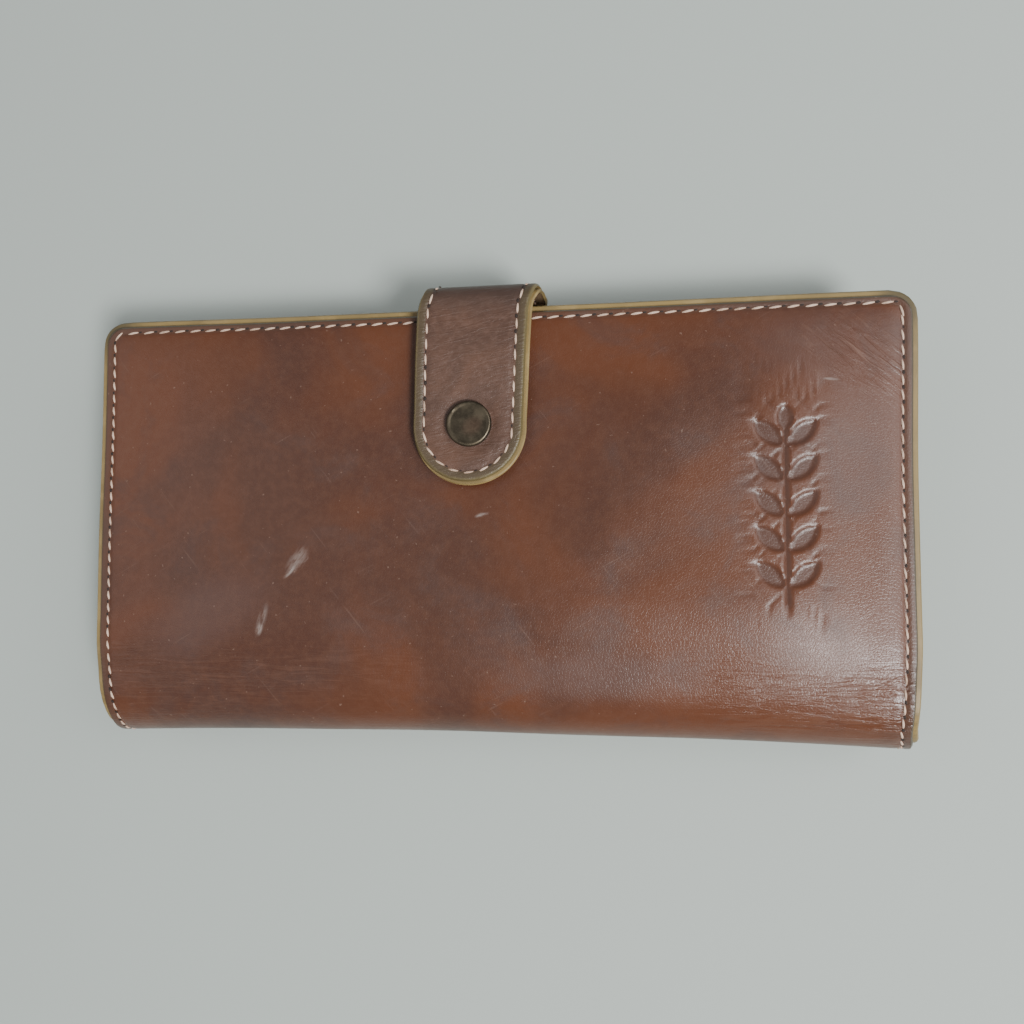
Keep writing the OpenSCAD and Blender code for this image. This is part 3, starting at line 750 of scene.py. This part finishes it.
def tab_point(x, run, depth, upper):
    """Where a point of the flat strap is, counted from the middle of the loop, and its normal."""
    up = 1 if upper else -1
    z_centre = z_middle + up * rise_half
    if run < rise_half:
        return Vector((x, loop_hi.y - depth, z_middle + up * run)), Vector((0, 1, 0))
    if run < rise_half + loop_arc:
        angle = (run - rise_half) / loop_r
        out = Vector((0, math.cos(angle), up * math.sin(angle)))
        return Vector((x, y_bend, z_centre)) + out * (loop_r - depth), out
    out = Vector((0, 0, up))
    flat = run - rise_half - loop_arc
    return Vector((x, y_bend - flat, z_centre)) + out * (loop_r - depth), out


def tab_swell(x, run, upper):
    """The strap arches up between the loop and the snap, and is pressed in round the cap."""
    loop = 2.0 * mm * smooth(rise_half + loop_arc * 0.9, rise_half * 0.4, run)
    if not upper:
        return loop
    flat = run - rise_half - loop_arc
    y = y_bend - flat
    arch = 0.7 * mm * smooth(-loop_arc, 12 * mm, flat) * smooth(27 * mm, 12 * mm, flat)
    uneven = 0.18 * mm * noise.noise(Vector((x * 90, run * 70, 1.3)))
    uneven *= smooth(-loop_arc, 6 * mm, flat)
    from_cap = math.hypot(x - tab_x, y - snap_y) if flat > 0 else 1.0
    return loop + arch + uneven - 0.32 * mm * math.exp(-((from_cap - 5.7 * mm) / mm) ** 2)


def tab_settled(point, run, upper):
    """The strap lies a degree or two out of square, and is a little wider at the loop."""
    if upper:
        near_snap = flap_run - 14 * mm
        high = min(max((near_snap - run) / (near_snap - rise_half), 0.0), 1.0)
        bent = smooth(rise_half + loop_arc + 3 * mm, rise_half, run)
        aside = 1.4 * high + 1.4 * bent - 0.45
    else:
        high = smooth(rise_half + loop_arc, 0, run)
        aside = 2.35 * high
    point.x += (point.x - tab_x) * 0.025 * high + aside * mm


def tab_layer(name, upper, depth, thickness, overhang, materials):
    """Half of a layer of the strap, from the middle of the loop to the flap's end or the root.

    The overhang is how far it stands out at the sides and tip, and how far it lies aside.
    """
    side, tip, shift = overhang
    half = tab_half + side
    end = (flap_run if upper else rise_half + loop_arc) + tip
    x_bands = [(-half, -half + 3 * mm, tab_fine_step), (half - 3 * mm, half, tab_fine_step)]
    run_bands = [(end - 4 * mm, end, tab_fine_step),
                 (rise_half - mm, rise_half + loop_arc + mm, 0.4 * mm)]
    piece, places = grid_of(name, gathered(-half, half, tab_step, x_bands),
                            gathered(0, end, tab_step, run_bands))
    rims, loop_shade_weights = [], []
    for vertex, (x, run) in zip(piece.data.vertices, places):
        inside = half - abs(x)
        if upper:
            a, b = x / half, (run - (end - half)) / half
            if b > 0:
                x = half * a * math.sqrt(1 - b * b / 2)
                run = end - half + half * b * math.sqrt(1 - a * a / 2)
                inside = half - math.hypot(x, run - (end - half))
        x += tab_x + shift
        point, out = tab_point(x, run, depth, upper)
        groove = 0.0
        if depth == 0:
            groove = tab_groove * math.exp(-((inside - side - tab_seam_inset) / (0.5 * mm)) ** 2)
        point += out * (tab_swell(x, run, upper) - edge_roll(inside, thickness * 0.46) - groove)
        tab_settled(point, run, upper)
        vertex.co = point
        rims.append(max(0.0, 1 - inside / rim_width))
        # This bend weight carries the painted shade on the loop's curve.
        loop_shade_weights.append(smooth(rise_half + loop_arc + 5 * mm, rise_half + loop_arc * 0.6, run))
    float_attribute(piece, "rim", rims)
    float_attribute(piece, "bend", loop_shade_weights)
    for material in materials:
        piece.data.materials.append(material)
    if piece.data.polygons[0].normal.y < 0:
        turned_over(piece)
    applied(piece, "SOLIDIFY", thickness=thickness, offset=-1.0, use_even_offset=True,
            material_offset=len(materials) - 1, material_offset_rim=1)
    smoothed(piece)
    return piece


def bend_with_flap(piece):
    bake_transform(piece)


def bend_with_root(piece):
    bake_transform(piece)


flap_top = tab_layer("tab_flap_top", True, 0.0, tab_leather_t, (-0.35 * mm, -0.75 * mm, -0.1 * mm),
                     (tab_leather, edge_dye))
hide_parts("tab_flap_leather")
bend_with_flap(flap_top)
flap_under = tab_layer("tab_flap_under", True, tab_leather_t, tab_lining_t,
                       (0.1 * mm, 0.0, 0.15 * mm), (edge_dye, edge_dye, lining_leather))
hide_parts("tab_flap_lining")
bend_with_flap(flap_under)
loop_top = tab_layer("tab_loop_top", False, 0.0, tab_leather_t, (-0.35 * mm, 1.5 * mm, -0.1 * mm),
                     (tab_leather, edge_dye))
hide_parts("tab_loop_leather", "tab_root_leather")
bend_with_root(loop_top)
loop_under = tab_layer("tab_loop_under", False, tab_leather_t, tab_lining_t,
                       (0.1 * mm, 0.3 * mm, 0.15 * mm), (edge_dye, edge_dye, lining_leather))
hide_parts("tab_loop_lining", "tab_root_lining")
bend_with_root(loop_under)


tab_pitch = 3.55 * mm


def tab_frames(upper, depth):
    """The seam of the strap: round the end of the flap, or down both sides of the loop."""
    half = tab_half - tab_seam_inset
    if upper:
        turn_run = flap_run - tab_half
        path = [(-half, 0), (-half, turn_run)]
        for step in range(10, 180, 10):
            turn = math.radians(180 - step)
            path.append((half * math.cos(turn), turn_run + half * math.sin(turn)))
        lines = [path + [(half, turn_run), (half, 0)]]
    else:
        stop = rise_half + loop_arc
        lines = [[(-half, 0), (-half, stop)], [(half, 0), (half, stop)]]
    frames = []
    for line in lines:
        for (x, run), direction in walked(line, tab_pitch, tab_pitch / 2):
            ends = []
            for shift in (-beside, 0.0, beside):
                at_x = x + direction.x * shift + tab_x
                at_run = max(run + direction.y * shift, 0.0)
                point, out = tab_point(at_x, at_run, depth, upper)
                groove = tab_groove if depth == 0 else 0.0
                point += out * (tab_swell(at_x, at_run, upper) - groove)
                tab_settled(point, at_run, upper)
                ends.append(point)
            out = tab_point(x, run, depth, upper)[1]
            frames.append((ends[1], ends[2] - ends[0], out if depth == 0 else -out, 1.0))
    return frames


tab_stitch = sewing_stitch(2.7 * mm, 0.56 * mm, tab_pitch)
tab_both = tab_leather_t + tab_lining_t
flap_seam = sewn("tab_flap_seam", tab_stitch,
                 tab_frames(True, 0.0) + tab_frames(True, tab_both), 4.0)
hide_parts("tab_flap_stitching")
bend_with_flap(flap_seam)
loop_seam = sewn("tab_loop_seam", tab_stitch,
                 tab_frames(False, 0.0) + tab_frames(False, tab_both), 4.0)
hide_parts("tab_loop_stitching")
bend_with_root(loop_seam)
bpy.data.objects.remove(tab_stitch)


# ---- Snap ----
# A press snap of blackened bronze. The cap is a shallow pressed disc with a rolled
# rim, set on the tab, and its finish has worn through to a reddish metal in the
# middle. The stud and the socket are made of the same bronze.

bronze, tree, shader = started("blackened_bronze", metallic=1.0)
place = object_place(tree)
tarnish = speckle(tree, place, 260.0, 4.0, 0.65)
scratches = speckle(tree, stretched(tree, 0.5, (200.0, 2600.0, 600.0)), 1.0, 4.0, 0.7)
worn_middle = smear(tree, tab_x / mm + 0.9, snap_y / mm - 0.6, 7.0, 5.4, 0.6)
tone = mixed(tree, ramp(tree, tarnish, 0.35, 0.70),
             (0.080, 0.066, 0.047, 1), (0.125, 0.102, 0.070, 1))
tone = mixed(tree, sums(tree, "MULTIPLY", worn_middle, 0.6), tone, (0.155, 0.100, 0.070, 1))
tone = mixed(tree, ramp(tree, scratches, 0.60, 0.72, 0.0, 0.35), tone, (0.20, 0.165, 0.12, 1))
coloured(tree, shader, tone)
tree.links.new(ramp(tree, tarnish, 0.3, 0.7, 0.34, 0.50), shader.inputs["Roughness"])
bumped(tree, shader, sums(tree, "MULTIPLY_ADD", scratches, 0.5, tarnish), 0.03 * mm)

cap_lo, cap_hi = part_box("snap_cap")
cap_r = (cap_hi.x - cap_lo.x) / 2
cap_foot = flap_hi.z
bpy.ops.object.select_all(action="DESELECT")
bpy.ops.mesh.primitive_cylinder_add(vertices=64, radius=cap_r, depth=cap_hi.z - cap_foot,
                                    location=(tab_x, snap_y, (cap_hi.z + cap_foot) / 2))
cap = bpy.context.object
cap.name = "snap_cap_disc"
bpy.ops.object.transform_apply(location=True, rotation=True, scale=True)
bpy.ops.object.mode_set(mode="EDIT")
bpy.ops.mesh.select_mode(type="FACE")
bpy.ops.mesh.select_all(action="DESELECT")
bpy.ops.object.mode_set(mode="OBJECT")
for face in cap.data.polygons:
    face.select = face.normal.z > 0.9
bpy.ops.object.mode_set(mode="EDIT")
rolled_rim = ((0.55, 0.0), (0.40, -0.16), (0.35, -0.02))
crowned_middle = ((0.9, 0.07), (0.9, 0.06), (0.9, 0.03))
for step_in, lift in rolled_rim + crowned_middle:
    bpy.ops.mesh.inset(thickness=step_in * mm, depth=lift * mm)
bpy.ops.object.mode_set(mode="OBJECT")
applied(cap, "BEVEL", width=0.62 * mm, segments=5, limit_method="ANGLE",
        angle_limit=math.radians(60))
cap.data.materials.append(bronze)
smoothed(cap, 30)
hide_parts("snap_cap")
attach(cap, "tab_flap")


def finished(material, *nodes):
    """Gives a material to CAD nodes that keep their shape."""
    for node in nodes:
        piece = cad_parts[node]
        for slot in piece.material_slots:
            slot.link = "OBJECT"
            slot.material = material


finished(bronze, "snap_socket", "snap_stud", "snap_eyelet")


# ---- Pockets ----
# The pockets are thin brown leather with turned edges: a banknote compartment, a
# zipped coin pocket between its gussets, and a fan of four card panels. Each open
# edge has a line creased into it with a hot iron.

def pocket_leather(name, top=None):
    """Brown pocket leather, with a creased line and a darkened rim below an edge at y = top."""
    line_below, line_half = 1.1 * mm, 0.35 * mm
    material, tree, shader = started(name, roughness=0.5)
    place = object_place(tree)
    cloudy = speckle(tree, place, 55.0, 4.0, 0.6, 0.5)
    fine = speckle(tree, place, 700.0, 4.0, 0.7)
    tone = mixed(tree, ramp(tree, cloudy, 0.36, 0.66),
                 (0.105, 0.044, 0.022, 1), (0.150, 0.064, 0.031, 1))
    tone = mixed(tree, ramp(tree, fine, 0.42, 0.76, 0.0, 0.35), tone, (0.20, 0.105, 0.062, 1))
    grain = grained(tree, 1700.0)
    height = grain
    if top is not None:
        y_here = put(tree, "ShaderNodeSeparateXYZ", None, {"Vector": place}).outputs["Y"]
        below = sums(tree, "SUBTRACT", top, y_here)
        from_line = sums(tree, "ABSOLUTE", sums(tree, "SUBTRACT", below, line_below))
        line = ramp(tree, from_line, line_half, 0.1 * mm)
        dark = sums(tree, "MAXIMUM", line, ramp(tree, below, 0.8 * mm, 0.1 * mm))
        tone = mixed(tree, sums(tree, "MULTIPLY", dark, 0.75), tone, (0.034, 0.017, 0.011, 1))
        height = sums(tree, "MULTIPLY_ADD", line, -3.0, grain)
    coloured(tree, shader, tone)
    tree.links.new(ramp(tree, cloudy, 0.3, 0.75, 0.40, 0.54), shader.inputs["Roughness"])
    bumped(tree, shader, height, 0.09 * mm)
    return material


finished(pocket_leather("pocket_leather"),
         "coin_gusset_left", "coin_gusset_right", "coin_bottom_strip",
         "bill_gusset_left", "bill_gusset_right", "bill_bottom_strip",
         "card_binding_left", "card_binding_right", "card_bottom_binding",
         "slip_side_left", "slip_side_right", "slip_bottom_strip")
for node in ("coin_rear_wall", "coin_front_wall", "card_panel_1", "card_panel_2", "card_panel_3",
             "card_panel_4", "card_backing"):
    finished(pocket_leather(node + "_leather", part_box(node)[1].y), node)


# ---- Pocket seams ----
# The same cream thread, in a finer size, sews the card panels along their open
# edges and down the middle, the coin pocket round three sides, and the root of
# the tab into the back cover.

fine_pitch = 2.8 * mm


def flat_frames(line, z, out):
    """A seam along a line at one height."""
    frames = []
    for place, direction in walked(line, fine_pitch, fine_pitch / 2):
        along = Vector((direction.x, direction.y, 0))
        frames.append((Vector((place.x, place.y, z)), along, out, 1.0))
    return frames


fine_stitch = sewing_stitch(2.2 * mm, 0.42 * mm, fine_pitch)
down, up = Vector((0, 0, -1)), Vector((0, 0, 1))
card_frames = []
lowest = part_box("card_bottom_binding")[0].y + 4.5 * mm
for number in range(1, 5):
    panel_lo, panel_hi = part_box("card_panel_%d" % number)
    row_y = panel_hi.y - 2.4 * mm
    ends = panel_hi.x - 4.0 * mm
    card_frames += flat_frames([(-ends, row_y), (ends, row_y)], panel_lo.z, down)
    card_frames += flat_frames([(0, lowest), (0, row_y - mm)], panel_lo.z, down)
    lowest = panel_hi.y + 0.6 * mm
card_seams = sewn("card_seams", fine_stitch, card_frames, 6.0)
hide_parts("card_centre_stitching")
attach(card_seams, "front")

wall_lo, wall_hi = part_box("coin_front_wall")
inset = 2.6 * mm
around = [(wall_lo.x + inset, wall_hi.y - mm), (wall_lo.x + inset, wall_lo.y + inset),
          (wall_hi.x - inset, wall_lo.y + inset), (wall_hi.x - inset, wall_hi.y - mm)]
coin_seam = sewn("coin_pocket_seam", fine_stitch, flat_frames(around, wall_hi.z, up), 6.0)
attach(coin_seam, "back")

ring_lo, ring_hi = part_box("tab_anchor_stitching")
ring = [(ring_lo.x, ring_lo.y), (ring_lo.x, ring_hi.y), (ring_hi.x, ring_hi.y),
        (ring_hi.x, ring_lo.y), (ring_lo.x, ring_lo.y)]
anchor_seam = sewn("tab_anchor_seam", fine_stitch, flat_frames(ring, 0.2 * mm, down), 6.0)
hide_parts("tab_anchor_stitching")
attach(anchor_seam, "back")
bpy.data.objects.remove(fine_stitch)


# ---- Zip ----
# A brass zip on brown woven tape closes the coin pocket. Its slider runs along the
# teeth, and a flat puller swings from it on a pin.

zip_tape, tree, shader = started("zip_tape", roughness=0.85)
place = object_place(tree)
weave_x = put(tree, "ShaderNodeTexWave", {"bands_direction": "X"},
              {"Vector": place, "Scale": 420.0, "Distortion": 0.4}).outputs["Fac"]
weave_z = put(tree, "ShaderNodeTexWave", {"bands_direction": "DIAGONAL"},
              {"Vector": place, "Scale": 300.0, "Distortion": 0.4}).outputs["Fac"]
weave = sums(tree, "MULTIPLY", weave_x, weave_z)
tone = mixed(tree, weave, (0.030, 0.017, 0.011, 1), (0.085, 0.050, 0.032, 1))
coloured(tree, shader, tone)
bumped(tree, shader, weave, 0.1 * mm)
finished(zip_tape, "zip_tape_rear", "zip_tape_front")

brass, tree, shader = started("aged_brass", metallic=1.0)
place = object_place(tree)
tarnish = speckle(tree, place, 420.0, 4.0, 0.65)
rubbed = speckle(tree, stretched(tree, 0.0, (300.0, 2200.0, 2200.0)), 1.0, 3.0, 0.6)
tone = mixed(tree, ramp(tree, tarnish, 0.35, 0.7), (0.48, 0.33, 0.13, 1), (0.27, 0.18, 0.07, 1))
tone = mixed(tree, ramp(tree, rubbed, 0.60, 0.75, 0.0, 0.5), tone, (0.68, 0.52, 0.27, 1))
coloured(tree, shader, tone)
tree.links.new(ramp(tree, tarnish, 0.3, 0.7, 0.24, 0.42), shader.inputs["Roughness"])
bumped(tree, shader, rubbed, 0.02 * mm)
finished(brass, "zip_teeth_rear", "zip_teeth_front", "zip_end_stops", "zip_slider", "zip_puller")
